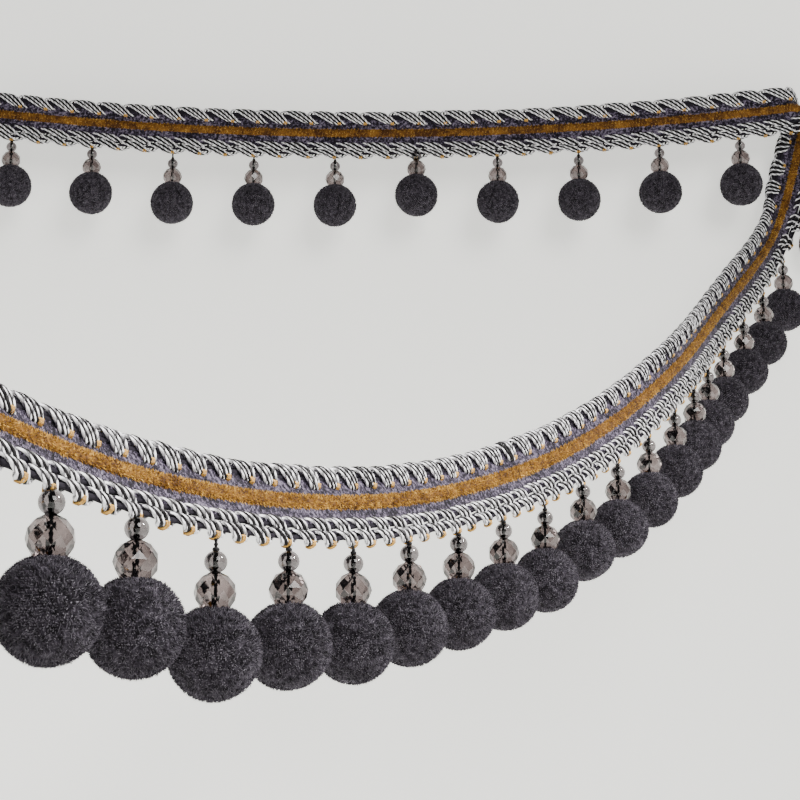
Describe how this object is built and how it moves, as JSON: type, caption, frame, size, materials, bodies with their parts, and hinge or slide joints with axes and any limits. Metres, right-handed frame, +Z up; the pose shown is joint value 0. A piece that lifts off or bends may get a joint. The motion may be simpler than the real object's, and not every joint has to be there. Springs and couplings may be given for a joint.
{
  "type": "pompom fringe trim",
  "caption": "Braided trim with a gold chenille cord, looped gimp edges and a fringe of beaded pompoms, hung in a swag that folds over and runs back level.",
  "frame": {"origin": "the hanging point: the middle of the fold, on the top edge of the braid", "axes": "+Z up, the drops hang along -Z; -X is the way the level run goes back from the fold; -Y is the way the swag comes towards the viewer"},
  "size_m": [0.5673, 0.8804, 0.4545],
  "materials": {
    "gold_chenille": "fuzzy chenille, old gold",
    "lilac_grey_ground": "plain weave, lilac grey",
    "silver_black_gimp": "satin twisted gimp cord, silver, white and black",
    "charcoal_pile": "dense clipped wool pile, charcoal"
  },
  "bodies": {
    "root": {"gold_cord": "gold_chenille", "ground_upper": "lilac_grey_ground", "ground_lower": "lilac_grey_ground", "gimp_upper": "silver_black_gimp", "fringe_comb": "silver_black_gimp", "pompom_01": "charcoal_pile", "pompom_02": "charcoal_pile", "pompom_03": "charcoal_pile", "pompom_04": "charcoal_pile", "pompom_05": "charcoal_pile", "pompom_06": "charcoal_pile", "pompom_07": "charcoal_pile", "pompom_08": "charcoal_pile", "pompom_09": "charcoal_pile", "pompom_10": "charcoal_pile", "pompom_11": "charcoal_pile", "pompom_12": "charcoal_pile", "pompom_13": "charcoal_pile", "pompom_14": "charcoal_pile", "pompom_15": "charcoal_pile", "pompom_16": "charcoal_pile", "pompom_17": "charcoal_pile", "pompom_18": "charcoal_pile", "pompom_19": "charcoal_pile", "pompom_20": "charcoal_pile", "pompom_21": "charcoal_pile", "pompom_22": "charcoal_pile", "pompom_23": "charcoal_pile", "pompom_24": "charcoal_pile", "pompom_25": "charcoal_pile", "pompom_26": "charcoal_pile", "pompom_27": "charcoal_pile", "pompom_28": "charcoal_pile", "pompom_29": "charcoal_pile", "pompom_30": "charcoal_pile", "pompom_31": "charcoal_pile"}
  },
  "joints": []
}
